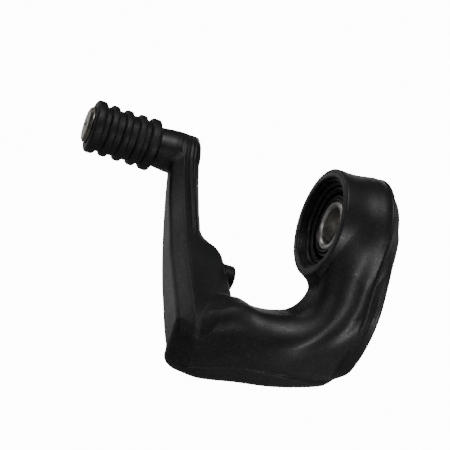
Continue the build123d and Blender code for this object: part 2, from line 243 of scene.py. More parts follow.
FLANGE_DEPTH = [(-40, 22), (-28, FULL_DEPTH), (-20, 22.4), (-11, 21.8), (-3.4, 20), (2.2, 17.2), (9.7, 12.4),
                (22.7, -2.1)]
BACK_DEPTH = [(-62, 0), (-58.8, 2.9), (-54.3, 11), (-47.4, 17.2), (-39.3, 21.3), (-29.4, 23.7), (-17.7, 23.1),
              (-6.2, 20.8), (4.5, 15.7), (15.1, 6.6), (19.6, -0.4)]
FAR_FACE = [(-58, 14), (-45, 14), (-36, 12), (-28, 6), (-20, 3), (10, 3)]
BEAM_ROUND = 7.0
REAR_ROUND = 2.2
GAP_ROUND = 0.8
ROOF_ROUND = 2.0
DROP_POWER = 1.4
HOLLOW_FROM_CREST = 4.6
HOLLOW_WIDTH = 3.2
UNDERCUT = 0.6
CREASE_DEPTH = 0.9
CREASE_ABOVE = 1.8
CREASE_BELOW = 0.5
CORNER_GROOVE = 0.5
CORNER_GROOVE_WIDTH = 0.6
FLANGE_LINE = 1.6
FLANGE_LINE_WIDTH = 0.4
SECOND_LINE_X = CRISP_X + 2.6
SECOND_LINE = 0.4
SECOND_LINE_WIDTH = 0.3

# Stretches over which a feature of the beam fades in, as (from, to).
FLANGE_Z = (-46, -28)
HOLLOW_X = (-34, -18)
HOLLOW_Z = (-52, -36)
CREASE_X = (-56, -50)
CORNER_Z = (-42, -50)
LINE_Z = (-46, -30)
CLEAR_X = (-51, -41)
CLEAR_ALL_X = (-45, -30)
CLEAR_ALL = 8 * FOOT_CLEAR

# Factors that bring the slope of a slanting face's field back to about 1.
CONE_SLOPE = 0.9
GAP_SLOPE = 0.94
BOTTOM_SLOPE = 0.97
REAR_SLOPE = 0.84
ROOF_SLOPE = 0.75
LEG_SLOPE = 0.78
LEG_REAR_SLOPE = 0.9

# Leg. Each curve lists (y, value).
RIDGE = [(70, -52), (96, -53.6)]
RIDGE_HEIGHT = 0.3
RIDGE_WIDTH = 0.9
STRIP_FALL = 0.95
LEG_X = -57.9
ROOF = [(-14, -63), (-6, -56.5), (-2.2, -53), (3.2, -48.1), (9.9, -43.3), (18.2, -38.5), (31.6, -30.7),
        (41.8, -24.6), (54.6, -14.8), (68, -4.5), (80, 6.5), (90, 18.5), (100, 28.5)]
UNDER = [(-20, -68.5), (-8, -68.3), (0, -66.8), (10, -63.4), (19.1, -58.6), (28.8, -52.1), (39.1, -45.3),
         (52.3, -34.9), (66.6, -21.9), (79.1, -8.9), (88.5, 2.0), (104, 17.0)]
TILT = [(-6, 0.8), (2, 0.6), (10, 0.3), (22, 0.08), (40, -0.06), (60, -0.13)]
TILT_REACH = 10.0
INBOARD = [(-5, -36), (10, -35.2), (30, -34.3), (38.7, -34.5), (44.5, -35.6), (49, -39.5), (53, -43),
           (60, -43.6), (78, -43.6), (90, -44.4)]
LEG_REAR = 4.0
LEG_REAR_ROUND = 2.5
LEG_ROUND = 2.5
LEG_OUTER_ROUND = 1.4
LEG_INNER_ROUND = 1.6
LEG_END_ROUND = 1.5
LEG_END_CLEAR = 0.6
END_FORWARD = 0.72
END_UP = 0.69

# Groove, raised line and step along the leg's upper end, as distances inboard of the ridge.
UPPER_Y = (46, 56)
GROOVE_IN = 3.2
GROOVE_DEPTH = 0.6
GROOVE_WIDTH = 0.5
LINE_IN = 4.1
LINE_WIDTH = 0.4
STEP_IN = 5.6
STEP_FALL = 0.8
STEP_GROOVE_IN = 5.2
STEP_GROOVE_DEPTH = 0.5

# Eye, stub, boss and what joins them to the leg.
EYE_X = -44.5
EYE_R = 8.8
EYE_ROUND = 2.6
EYE_JOIN = 2.5
EYE_INSET = 1.0
STUB_OVERLAP = 3.0
STUB_ROUND = 0.8
STUB_ROOT_R = 10.3
STUB_END_R = 9.4
BOSS_R = 5.5
BOSS_X = -30.9
BOSS_ROUND = 0.7
BOSS_ROOT = 1.2
BOSS_JOIN = 1.0
PAD_X = -34.3
STUD_DEPTH = 9.0
LEG_JOIN = 0.6
LEG_JOIN_INBOARD = 6.0
JOIN_X = (-50, -40)
JOIN_Z = (-66, -54)


def hub_field(x, y, z):
    """Outside of the cup, flaring to a collar and closing in to the back face."""
    cone = CRISP_R - (CRISP_R - BACK_R) * (x - CRISP_X) / (PLATE_BACK - CRISP_X)
    outline = np.where(x > CRISP_X, cone, curve(HUB_OUTLINE, x)) + BEAD_HEIGHT * bump(x, BEAD_X, BEAD_WIDTH)
    side = (np.hypot(y, z) - outline) * CONE_SLOPE
    field = round_cut(side, CUP_RIM - x, RIM_ROUND)
    return round_cut(field, x - PLATE_BACK, BACK_ROUND)


def beam_depth(x, z, from_gap, settings):
    """How far the rear of the beam lies behind the pivot."""
    line_z = curve(BOTTOM, x) + curve(LINE_UP, x)
    crest_z = curve(CREST_END, x)
    drop = np.clip((crest_z - z) / (crest_z - line_z), 0, 1) ** DROP_POWER
    crest_r = curve(CREST_R, x)
    crest = curve(CREST_DEPTH, x)
    depth = crest - (crest - curve(LINE_DEPTH, x)) * drop
    depth = depth + np.minimum(curve(FLANGE_DEPTH, z) - FULL_DEPTH, 0) * ease(*FLANGE_Z, z)
    hollow = settings.hollow / MM * ease(*HOLLOW_Z, z) * ease(*HOLLOW_X, x)
    depth = depth - hollow * bump(from_gap, crest_r + HOLLOW_FROM_CREST, HOLLOW_WIDTH)
    near_gap = np.clip(crest_r - from_gap, 0, crest_r)
    depth = depth - crest_r + np.sqrt(np.maximum(crest_r**2 - near_gap**2, 0))
    crease_width = np.where(z > line_z, CREASE_ABOVE, CREASE_BELOW)
    crease = CREASE_DEPTH * bump(z, line_z, crease_width) * ease(*CREASE_X, x)
    corner = CORNER_GROOVE * bump(x, CRISP_X, CORNER_GROOVE_WIDTH) * ease(*CORNER_Z, z)
    depth = depth - UNDERCUT * np.maximum(line_z - z, 0) - np.maximum(crease, corner)
    behind = np.clip((x - CRISP_X) / (PLATE_BACK - CRISP_X), 0, 1)
    first = FLANGE_LINE * bump(x, BEAD_X, FLANGE_LINE_WIDTH) * ease(*LINE_Z, z)
    second = SECOND_LINE * bump(x, SECOND_LINE_X, SECOND_LINE_WIDTH)
    lines = settings.parting_line / MM * (first + second)
    return depth + (curve(BACK_DEPTH, z) - depth) * behind + lines


def leg_roof(x, y):
    """Height of the leg's upper face: a strip falling away outboard of the ridge, a tilted face inboard."""
    from_ridge = x - curve(RIDGE, y)
    inward = TILT_REACH * np.tanh(np.maximum(from_ridge, 0) / TILT_REACH)
    outward = np.maximum(-from_ridge, 0)
    ridge = RIDGE_HEIGHT * bump(from_ridge, 0, RIDGE_WIDTH)
    return curve(ROOF, y) + curve(TILT, y) * inward - STRIP_FALL * outward + ridge


def beam_field(x, y, z, settings):
    """Beam that drops from the cup and turns outboard below the gap, with its flange and crest."""
    from_gap = round_cut(x - GAP_SIDE, (curve(GAP_FLOOR, x) - z) * GAP_SLOPE, GAP_CORNER)
    outline = round_cut((curve(BOTTOM, x) - z) * BOTTOM_SLOPE, x - PLATE_BACK, CORNER_R)
    outline = round_cut(outline, FOOT_X - x, FOOT_ROUND)
    outline = np.maximum(outline, z - BEAM_TOP)
    rear = (-y - beam_depth(x, z, from_gap, settings)) * REAR_SLOPE
    field = round_cut(outline, rear, REAR_ROUND)
    field = round_cut(field, -from_gap, GAP_ROUND)
    clear = FOOT_CLEAR * ease(*CLEAR_X, x) + CLEAR_ALL * ease(*CLEAR_ALL_X, x)
    field = round_cut(field, (z - leg_roof(x, y) - clear) * ROOF_SLOPE, ROOF_ROUND)
    return round_cut(field, y - curve(FAR_FACE, x), BEAM_ROUND)


def leg_field(x, y, z, settings):
    """Leg from the foot to the eye, with a ridge on its upper face and a wide pad at the ball stud."""
    inward = np.maximum(x - curve(RIDGE, y), 0)
    groove = GROOVE_DEPTH * bump(inward, GROOVE_IN, GROOVE_WIDTH)
    line = settings.parting_line / MM * bump(inward, LINE_IN, LINE_WIDTH)
    step = STEP_FALL * np.maximum(inward - STEP_IN, 0)
    step_groove = STEP_GROOVE_DEPTH * bump(inward, STEP_GROOVE_IN, GROOVE_WIDTH)
    roof = leg_roof(x, y) + (line - groove - step - step_groove) * ease(*UPPER_Y, y)
    field = round_cut((z - roof) * LEG_SLOPE, (curve(UNDER, y) - z) * LEG_SLOPE, LEG_ROUND)
    field = round_cut(field, LEG_X - x, LEG_OUTER_ROUND)
    field = round_cut(field, x - curve(INBOARD, y), LEG_INNER_ROUND)
    rear = -y - np.minimum(curve(CREST_DEPTH, x) - 0.2, LEG_REAR)
    field = round_cut(field, rear * LEG_REAR_SLOPE, LEG_REAR_ROUND)
    top_end = (y - PEG_Y) * END_FORWARD + (z - PEG_Z) * END_UP - EYE_R - LEG_END_CLEAR
    return round_cut(field, top_end, LEG_END_ROUND)


def peg_root_field(x, y, z):
    """Eye at the end of the leg and the stub that carries the peg."""
    reach = np.hypot(y - PEG_Y, z - PEG_Z)
    eye = round_cut(reach - EYE_R, x - EYE_X, EYE_ROUND)
    taper = np.clip((LEG_X - x) / (LEG_X - STUB_END), 0, 1)
    stub = reach - (STUB_ROOT_R + (STUB_END_R - STUB_ROOT_R) * taper)
    eye = np.maximum(eye, LEG_X + EYE_INSET - x)
    stub = np.maximum(stub, x - LEG_X - STUB_OVERLAP)
    return round_cut(np.minimum(eye, stub), STUB_END - x, STUB_ROUND)


def bores_field(x, y, z):
    """What is machined out of the casting: seats for the cup's liner and the bearing, stud and pin holes."""
    radius = np.where(x < SEAL_HIGH[0], LINER_R - LINER_OVERLAP, SHELL_R)
    bore = np.hypot(y, z) - radius
    stud = np.maximum(np.hypot(y - STUD_Y, z - STUD_Z) - STUD_R, PAD_X - STUD_DEPTH - x)
    pin = np.maximum(np.hypot(y - PEG_Y, z - PEG_Z) - PIN_GRIP_R, x - STUB_END - PIN_GRIP_LENGTH)
    return np.minimum(np.minimum(bore, stud), pin)


def arm_field(x, y, z, settings):
    """The whole casting."""
    body = round_join(hub_field(x, y, z), beam_field(x, y, z, settings), settings.blend / MM)
    leg = round_join(leg_field(x, y, z, settings), peg_root_field(x, y, z), EYE_JOIN)
    soft = LEG_JOIN + LEG_JOIN_INBOARD * ease(*JOIN_X, x) * ease(*JOIN_Z, z)
    body = round_join(body, leg, soft)
    boss = round_cut(np.hypot(y - STUD_Y, z - STUD_Z) - BOSS_R, x - BOSS_X, BOSS_ROUND)
    boss = np.maximum(boss, PAD_X - BOSS_ROOT - x)
    body = round_join(body, boss, BOSS_JOIN)
    return round_cut(body, -bores_field(x, y, z), EDGE)


SLAB = 24


def surface_net(field, low, high, cell):
    """Vertices and quads of a field's zero surface: one vertex in each cell that the surface crosses."""
    axes = [np.arange(a - 2 * cell, b + 2 * cell, cell, dtype=np.float32) for a, b in zip(low, high)]
    size = [len(axis) for axis in axes]
    values = np.empty(size, np.float32)
    for start in range(0, size[0], SLAB):
        x, y, z = np.meshgrid(axes[0][start:start + SLAB], axes[1], axes[2], indexing="ij", sparse=True)
        values[start:start + SLAB] = field(x, y, z)
    for axis in range(3):
        for side in (0, -1):
            wall = [slice(None)] * 3
            wall[axis] = side
            values[tuple(wall)] = cell
    inside = values < 0
    corner = [(i, j, k) for i in (0, 1) for j in (0, 1) for k in (0, 1)]
    cells = [n - 1 for n in size]
    count = np.zeros(cells, np.int8)
    for i, j, k in corner:
        count += inside[i:i + cells[0], j:j + cells[1], k:k + cells[2]]
    at = np.argwhere((count > 0) & (count < len(corner)))
    if not len(at):
        raise ValueError("the field has no surface inside its box")
    index = np.full(cells, -1, np.int32)
    index[tuple(at.T)] = np.arange(len(at))
    total = np.zeros((len(at), 3))
    hits = np.zeros((len(at), 1))
    for a in corner:
        for axis in range(3):
            if a[axis]:
                continue
            b = list(a)
            b[axis] = 1
            va = values[tuple((at + a).T)]
            vb = values[tuple((at + b).T)]
            crossed = (va < 0) != (vb < 0)
            t = np.where(crossed, va / np.where(crossed, va - vb, 1), 0)
            point = np.array(a, float)[None, :] + (np.array(b) - a)[None, :] * t[:, None]
            total += point * crossed[:, None]
            hits += crossed[:, None]
    points = (at + total / hits) * cell + np.array([axis[0] for axis in axes])
    quads = []
    for axis in range(3):
        u, v = (axis + 1) % 3, (axis + 2) % 3
        lead = [slice(None)] * 3
        lead[axis] = slice(0, -1)
        trail = [slice(None)] * 3
        trail[axis] = slice(1, None)
        starts = inside[tuple(lead)]
        ends = inside[tuple(trail)]
        edge = np.argwhere(starts != ends)
        rising = starts[tuple(edge.T)]
        ring = []
        for du, dv in ((0, 0), (-1, 0), (-1, -1), (0, -1)):
            shifted = edge.copy()
            shifted[:, u] += du
            shifted[:, v] += dv
            ring.append(index[tuple(shifted.T)])
        ring = np.stack(ring, 1)
        ring[~rising] = ring[~rising][:, ::-1]
        quads.append(ring)
    return points, np.concatenate(quads)


def gradient(field, points, step=0.05):
    """Slope of a field at each point."""
    slope = np.empty_like(points)
    for axis in range(3):
        offset = np.zeros(3)
        offset[axis] = step
        ahead = field(*(points + offset).T)
        behind = field(*(points - offset).T)
        slope[:, axis] = (ahead - behind) / (2 * step)
    return slope


def settle(field, points, cell, rounds=3):
    """Moves points onto the zero surface and returns them with their outward normals."""
    for _ in range(rounds):
        slope = gradient(field, points)
        steep = np.maximum((slope**2).sum(1), 0.05)
        move = -field(*points.T)[:, None] * slope / steep[:, None]
        length = np.linalg.norm(move, axis=1, keepdims=True)
        points = points + move * np.minimum(1, 0.5 * cell / np.maximum(length, 1e-9))
    slope = gradient(field, points, step=0.12)
    return points, slope / np.maximum(np.linalg.norm(slope, axis=1, keepdims=True), 1e-9)


# Mesh helpers -----------------------------------------------------------------------------------

SHARP_ANGLE = radians(32)


def new_object(name, points, faces, normals=None):
    """Mesh object from points in millimetres, smooth shaded."""
    mesh = bpy.data.meshes.new(name)
    mesh.from_pydata((np.asarray(points) * MM).tolist(), [], [list(map(int, face)) for face in faces])
    mesh.polygons.foreach_set("use_smooth", [True] * len(mesh.polygons))
    if normals is not None:
        mesh.normals_split_custom_set_from_vertices(normals.tolist())
    mesh.update()
    piece = bpy.data.objects.new(name, mesh)
    bpy.context.scene.collection.objects.link(piece)
    return piece


def lathe(name, profile, centre=(0, 0), segments=128):
    """Closed ring turned about an axis along X. The profile is a closed loop of (x, radius) points."""
    points = []
    for i in range(segments):
        angle = 2 * pi * i / segments
        for x, radius in profile:
            points.append((x, centre[0] + radius * cos(angle), centre[1] + radius * sin(angle)))
    n = len(profile)
    faces = []
    for i in range(segments):
        a, b = i * n, (i + 1) % segments * n
        for j in range(n):
            k = (j + 1) % n
            faces.append((a + j, a + k, b + k, b + j))
    piece = new_object(name, points, faces)
    piece.data.set_sharp_from_angle(angle=SHARP_ANGLE)
    return piece


def rounded(profile, radius, steps=4):
    """Closed profile with each corner cut by a small arc."""
    out = []
    n = len(profile)
    for i in range(n):
        before, here, after = (np.array(profile[(i + d) % n], float) for d in (-1, 0, 1))
        a, b = before - here, after - here
        la, lb = np.linalg.norm(a), np.linalg.norm(b)
        cut = min(radius, 0.45 * la, 0.45 * lb)
        start, end = here + a / la * cut, here + b / lb * cut
        for s in range(steps + 1):
            t = s / steps
            out.append(tuple((1 - t) ** 2 * start + 2 * t * (1 - t) * here + t * t * end))
    return out


def finish_piece(piece, body, material, replaces=()):
    """Gives a piece its material and body, and hides the CAD nodes that it replaces."""
    if not piece.data.polygons:
        raise ValueError(f"{piece.name} has no faces")
    piece.data.materials.append(material)
    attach(piece, body)
    if replaces:
        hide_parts(*replaces)


# Shader node groups -----------------------------------------------------------------------------

class Graph:
    """Short way to add and join shader nodes in a tree."""

    def __init__(self, tree):
        self.tree = tree
        self.x = 0

    def node(self, kind, inputs=None, **options):
        made = self.tree.nodes.new(kind)
        made.location = (self.x, 0)
        self.x += 180
        for key, value in options.items():
            setattr(made, key, value)
        for key, value in (inputs or {}).items():
            self.feed(made.inputs[key], value)
        return made

    def feed(self, socket, value):
        if isinstance(value, bpy.types.NodeSocket):
            self.tree.links.new(value, socket)
        else:
            socket.default_value = value

    def math(self, operation, a, b=0.0, clamp=False):
        made = self.node("ShaderNodeMath", {0: a, 1: b}, operation=operation, use_clamp=clamp)
        return made.outputs[0]

    def mix(self, factor, a, b):
        made = self.node("ShaderNodeMix", data_type="RGBA")
        self.feed(made.inputs["Factor"], factor)
        self.feed(made.inputs[6], a)
        self.feed(made.inputs[7], b)
        return made.outputs[2]

    def spread(self, value, low, high, to_low=0.0, to_high=1.0):
        made = self.node(
            "ShaderNodeMapRange",
            {"Value": value, "From Min": low, "From Max": high, "To Min": to_low, "To Max": to_high},
            clamp=True,
        )
        return made.outputs["Result"]


def new_group(name, inputs, outputs):
    """Node group with named float and colour sockets."""
    tree = bpy.data.node_groups.new(name, "ShaderNodeTree")
    for socket, kind, default in inputs:
        made = tree.interface.new_socket(socket, in_out="INPUT", socket_type=kind)
        if default is not None:
            made.default_value = default
    for socket, kind in outputs:
        tree.interface.new_socket(socket, in_out="OUTPUT", socket_type=kind)
    graph = Graph(tree)
    source = graph.node("NodeGroupInput")
    sink = graph.node("NodeGroupOutput")
    return graph, source.outputs, sink.inputs


FLOAT = "NodeSocketFloat"
MOTTLE_SCALE = 55.0
SCUFF_SCALE = 2600.0
STAIN_SCALE = 320.0
STAIN_ROUGHNESS = 0.12


def coat_grain_group():
    """Fine orange-peel of a textured powder coat, broad mottle, and a mask of random grains that the coat
    uses for painted glints and for real glossier grains.
    """
    graph, given, out = new_group(
        "coat_grain",
        [("Grain", FLOAT, 0.00035), ("Glint", FLOAT, 0.3)],
        [("Height", FLOAT), ("Glints", FLOAT), ("Mottle", FLOAT)],
    )
    place = graph.node("ShaderNodeTexCoord").outputs["Object"]
    per_metre = graph.math("DIVIDE", 1.0, given["Grain"])
    cells = graph.node("ShaderNodeTexVoronoi", {"Vector": place, "Scale": per_metre, "Randomness": 1.0})
    peel = graph.node("ShaderNodeTexNoise", {
        "Vector": place, "Scale": graph.math("MULTIPLY", per_metre, 0.45), "Detail": 4.0, "Roughness": 0.6})
    broad = graph.node("ShaderNodeTexNoise", {
        "Vector": place, "Scale": MOTTLE_SCALE, "Detail": 3.0, "Roughness": 0.5})
    hills = graph.math("SUBTRACT", 1.0, cells.outputs["Distance"])
    height = graph.math("ADD", graph.math("MULTIPLY", hills, 0.35), peel.outputs[0])
    picked = graph.node("ShaderNodeSeparateColor", {"Color": cells.outputs["Color"]}).outputs[0]
    bright = graph.spread(picked, graph.math("SUBTRACT", 1.0, given["Glint"]), 1.0)
    graph.feed(out["Height"], height)
    graph.feed(out["Glints"], graph.math("POWER", bright, 2.0))
    graph.feed(out["Mottle"], graph.spread(broad.outputs[0], 0.3, 0.7))
    return graph.tree


def edge_wear_group():
    """Mask that is bright on exposed edges and broken up by noise."""
    graph, given, out = new_group(
        "edge_wear",
        [("Amount", FLOAT, 0.5), ("Scale", FLOAT, 400.0)],
        [("Mask", FLOAT)],
    )
    place = graph.node("ShaderNodeTexCoord").outputs["Object"]
    pointed = graph.node("ShaderNodeNewGeometry").outputs["Pointiness"]
    noise = graph.node("ShaderNodeTexNoise", {"Vector": place, "Scale": given["Scale"], "Detail": 5.0})
    edge = graph.spread(pointed, 0.53, 0.62)
    broken = graph.spread(noise.outputs[0], 0.4, 0.65)
    worn = graph.math("MULTIPLY", graph.math("MULTIPLY", edge, broken), given["Amount"], clamp=True)
    graph.feed(out["Mask"], worn)
    return graph.tree


def turning_marks_group():
    """Rings left by a lathe about an axis along X, with a little staining."""
    graph, given, out = new_group(
        "turning_marks",
        [("Y", FLOAT, 0.0), ("Z", FLOAT, 0.0), ("Pitch", FLOAT, 0.0002)],
        [("Height", FLOAT), ("Stain", FLOAT)],
    )
    place = graph.node("ShaderNodeTexCoord").outputs["Object"]
    parts = graph.node("ShaderNodeSeparateXYZ", {"Vector": place}).outputs
    y = graph.math("SUBTRACT", parts[1], given["Y"])
    z = graph.math("SUBTRACT", parts[2], given["Z"])
    reach = graph.math("SQRT", graph.math("ADD", graph.math("MULTIPLY", y, y), graph.math("MULTIPLY", z, z)))
    along = graph.math("ADD", reach, parts[0])
    phase = graph.math("DIVIDE", along, given["Pitch"])
    rings = graph.node("ShaderNodeTexNoise", {"W": phase, "Scale": 1.0, "Detail": 2.0}, noise_dimensions="1D")
    stain = graph.node("ShaderNodeTexNoise", {"Vector": place, "Scale": STAIN_SCALE, "Detail": 5.0})
    graph.feed(out["Height"], rings.outputs[0])
    graph.feed(out["Stain"], graph.spread(stain.outputs[0], 0.35, 0.7))
    return graph.tree


def dust_group():
    """Faint pale dust and scuffs, as on handled rubber."""
    graph, given, out = new_group(
        "dust",
        [("Scale", FLOAT, 90.0), ("Amount", FLOAT, 0.2)],
        [("Mask", FLOAT), ("Height", FLOAT)],
    )
    place = graph.node("ShaderNodeTexCoord").outputs["Object"]
    cloud = graph.node("ShaderNodeTexNoise", {
        "Vector": place, "Scale": given["Scale"], "Detail": 6.0, "Roughness": 0.65})
    fine = graph.node("ShaderNodeTexNoise", {"Vector": place, "Scale": SCUFF_SCALE, "Detail": 2.0})
    mask = graph.math("MULTIPLY", graph.spread(cloud.outputs[0], 0.45, 0.75), given["Amount"])
    graph.feed(out["Mask"], mask)
    graph.feed(out["Height"], fine.outputs[0])
    return graph.tree


def shader_group(name):
    """The named group, built once."""
    makers = {
        "coat_grain": coat_grain_group,
        "edge_wear": edge_wear_group,
        "turning_marks": turning_marks_group,
        "dust": dust_group,
    }
    return bpy.data.node_groups.get(name) or makers[name]()


def start_material(name):
    """Node material with an empty Principled shader, and its graph."""
    material = bpy.data.materials.new(name)
    material.use_nodes = True
    graph = Graph(material.node_tree)
    shader = material.node_tree.nodes["Principled BSDF"]
    return material, graph, shader


def place_group(graph, name, **inputs):
    """Adds a shared group to a material with its own values."""
    return graph.node("ShaderNodeGroup", inputs, node_tree=shader_group(name)).outputs


def bump_into(graph, shader, height, distance, strength=1.0):
    """Sends a height to the shader's normal."""
    made = graph.node("ShaderNodeBump", {"Height": height, "Distance": distance, "Strength": strength})
    graph.feed(shader.inputs["Normal"], made.outputs[0])


def powder_coat():
    """Black textured powder coat on the casting."""
    settings = bpy.context.scene.lever_finish
    material, graph, shader = start_material("black_powder_coat")
    grain = place_group(graph, "coat_grain", Grain=settings.grain, Glint=0.12)
    wear = place_group(graph, "edge_wear", Amount=0.5, Scale=500.0)
    dark = (*settings.coat_colour, 1)
    pale = (*(c * 1.9 for c in settings.coat_colour), 1)
    colour = graph.mix(grain["Mottle"], dark, pale)
    # Painted glints: random grains lightened toward pale grey in the base colour; their lower roughness below
    # is real gloss.
    colour = graph.mix(graph.math("MULTIPLY", grain["Glints"], 0.5), colour, (0.09, 0.09, 0.095, 1))
    colour = graph.mix(wear["Mask"], colour, (0.06, 0.06, 0.062, 1))
    graph.feed(shader.inputs["Base Color"], colour)
    rough = graph.spread(grain["Glints"], 0.0, 1.0, 0.41, 0.22)
    rough = graph.math("ADD", rough, graph.math("MULTIPLY", grain["Mottle"], 0.06))
    graph.feed(shader.inputs["Roughness"], rough)
    shader.inputs["Specular IOR Level"].default_value = 0.5
    bump_into(graph, shader, grain["Height"], 0.00006, 0.8)
    return material


def bored_coat():
    """Black coat over the turned steps of the cup, smoother than the casting's."""
    settings = bpy.context.scene.lever_finish
    material, graph, shader = start_material("bored_coat")
    grain = place_group(graph, "coat_grain", Grain=settings.grain * 0.7, Glint=0.1)
    marks = place_group(graph, "turning_marks", Pitch=0.0004)
    dark = (*settings.coat_colour, 1)
    pale = (*(c * 2.2 for c in settings.coat_colour), 1)
    graph.feed(shader.inputs["Base Color"], graph.mix(marks["Stain"], dark, pale))
    graph.feed(shader.inputs["Roughness"], graph.spread(grain["Mottle"], 0.0, 1.0, 0.3, 0.42))
    bump_into(graph, shader, grain["Height"], 0.00003, 0.5)
    return material


def peg_rubber_material():
    """Moulded black rubber with a trace of dust."""
    settings = bpy.context.scene.lever_finish
    material, graph, shader = start_material("moulded_rubber")
    dust = place_group(graph, "dust", Scale=160.0, Amount=0.35)
    wear = place_group(graph, "edge_wear", Amount=0.3, Scale=700.0)
    colour = graph.mix(dust["Mask"], (*settings.rubber_colour, 1), (0.05, 0.05, 0.05, 1))
    colour = graph.mix(wear["Mask"], colour, (0.045, 0.045, 0.045, 1))
    graph.feed(shader.inputs["Base Color"], colour)
    graph.feed(shader.inputs["Roughness"], graph.spread(dust["Mask"], 0.0, 0.3, 0.48, 0.7))
    shader.inputs["Specular IOR Level"].default_value = 0.4
    bump_into(graph, shader, dust["Height"], 0.00005, 0.6)
    return material


def seal_rubber_material():
    """Softer, slightly oily rubber of the bearing seals."""
    settings = bpy.context.scene.lever_finish
    material, graph, shader = start_material("seal_rubber")
    dust = place_group(graph, "dust", Scale=240.0, Amount=0.2)
    colour = graph.mix(dust["Mask"], (*settings.rubber_colour, 1), (0.035, 0.033, 0.03, 1))
    graph.feed(shader.inputs["Base Color"], colour)
    graph.feed(shader.inputs["Roughness"], graph.spread(dust["Mask"], 0.0, 0.2, 0.34, 0.5))
    bump_into(graph, shader, dust["Height"], 0.00004, 0.4)
    return material


def turned_metal(name, colour, roughness, pitch, centre=(0.0, 0.0), stain=0.35):
    """Bright metal with lathe rings about the given axis."""
    material, graph, shader = start_material(name)
    marks = place_group(graph, "turning_marks", Y=centre[0], Z=centre[1], Pitch=pitch)
    wear = place_group(graph, "edge_wear", Amount=0.4, Scale=900.0)
    dull = (*(c * (1 - stain) for c in colour), 1)
    base = graph.mix(marks["Stain"], (*colour, 1), dull)
    base = graph.mix(wear["Mask"], base, (0.8, 0.79, 0.77, 1))
    graph.feed(shader.inputs["Base Color"], base)
    rough = graph.spread(marks["Stain"], 0.0, 1.0, roughness, roughness + STAIN_ROUGHNESS)
    graph.feed(shader.inputs["Roughness"], rough)
    shader.inputs["Metallic"].default_value = 1.0
    bump_into(graph, shader, marks["Height"], 0.00003, 0.5)
    return material


# Operators --------------------------------------------------------------------------------------

# Toe peg, and the gaps of the turned pieces.
END_RIB = 5.0
RIB = 3.3
RIB_FLARE = 0.35
RIB_DROP = 0.25
PEG_END_ROUND = 1.3
PEG_STEPS = 220
BORE_MOUTH = 0.6
AXIS_R = 0.02
LIP_GAP = 0.08
SEAL_GAP = 0.02
SLEEVE_CHAMFER = 0.8
SLEEVE_EDGE = 0.5


class LEVER_OT_arm(Operator):
    """Build the cast arm as one blended surface"""

    bl_idname = "lever.arm"
    bl_label = "Cast Arm"

    def execute(self, context):
        settings = context.scene.lever_casting
        cell = settings.cell / MM * 1.0

        def field(x, y, z):
            return arm_field(x, y, z, settings)

        points, quads = surface_net(field, ARM_LOW, ARM_HIGH, cell)
        points, normals = settle(field, points, cell)
        points = np.clip(points, ARM_LOW, ARM_HIGH)
        piece = new_object("lever_casting", points, quads, normals)
        finish_piece(piece, LEVER, powder_coat(), ["lever_arm"])
        return {"FINISHED"}


class LEVER_OT_cup(Operator):
    """Build the machined mouth of the cup, with its step and the seat of the seal"""

    bl_idname = "lever.cup"
    bl_label = "Cup Mouth"

    def execute(self, context):
        rim = CUP_RIM - SEAL_GAP
        step = CUP_RIM + MOUTH_DEPTH
        seat = CUP_RIM + STEP_DEPTH
        back = float(SEAL_HIGH[0])
        outline = [
            (rim, LINER_R),
            (rim, MOUTH_R + EDGE),
            (rim + EDGE, MOUTH_R),
            (step, MOUTH_R),
            (step, STEP_R),
            (seat, STEP_R),
            (seat, SEAL_R + 0.5),
            (seat + 0.5, SEAL_R + SEAL_GAP),
            (back, SEAL_R + SEAL_GAP),
            (back, LINER_R),
        ]
        piece = lathe("cup_mouth", rounded(outline, 0.14), segments=192)
        finish_piece(piece, LEVER, bored_coat(), ["lever_arm"])
        return {"FINISHED"}


class LEVER_OT_peg(Operator):
    """Build the toe peg: the turned pin and its ribbed rubber"""

    bl_idname = "lever.peg"
    bl_label = "Toe Peg"

    def execute(self, context):
        settings = context.scene.lever_peg
        centre = (PEG_Y, PEG_Z)
        start, end = float(RUBBER_LOW[0]), float(RUBBER_HIGH[0])
        length = end - start
        pitch = (length - END_RIB) / (settings.ribs - 1)
        groove_r = PEG_R - settings.groove / MM
        grip_r = settings.grip_r / MM
        profile = [(end - BORE_MOUTH, grip_r), (start + BORE_MOUTH, grip_r)]
        for i in range(PEG_STEPS + 1):
            x = start + length * i / PEG_STEPS
            nearest = min(range(settings.ribs), key=lambda n: abs(start + END_RIB / 2 + n * pitch - x))
            middle = start + END_RIB / 2 + nearest * pitch
            at_end = nearest in (0, settings.ribs - 1)
            half = (END_RIB if at_end else RIB) / 2 + RIB_FLARE
            rise = max(0.0, 1 - (abs(x - middle) / half) ** 3.6) ** 0.6
            top = PEG_R - (0.0 if at_end else RIB_DROP)
            edge = min(x - start, end - x)
            inset = PEG_END_ROUND * max(0.0, 1 - edge / PEG_END_ROUND) ** 2.2
            profile.append((x, groove_r + (top - groove_r) * rise - inset))

        rubber = lathe("toe_peg_rubber", profile, centre, segments=160)
        finish_piece(rubber, LEVER, peg_rubber_material(), ["peg_rubber"])

        colour = tuple(context.scene.lever_finish.alloy_colour)
        metal = turned_metal("turned_alloy", colour, 0.3, 0.00022, (PEG_Y * MM, PEG_Z * MM), 0.3)
        head = float(PIN_LOW[0])
        tail = float(PIN_HIGH[0])
        outline = [
            (tail, AXIS_R),
            (tail, PIN_GRIP_R - 0.4),
            (tail - 0.5, PIN_GRIP_R),
            (end, PIN_GRIP_R),
            (end, grip_r),
            (start, grip_r),
            (start, HEAD_R),
            (head + 1.3, HEAD_R),
            (head + 0.25, HEAD_R - 1.0),
            (head, HEAD_R - 1.5),
            (head, 1.6),
            (head + 0.5, 0.9),
            (head + 0.6, AXIS_R),
        ]
        pin = lathe("toe_peg_pin", rounded(outline, 0.22), centre, segments=160)
        finish_piece(pin, LEVER, metal, ["peg_pin"])
        return {"FINISHED"}


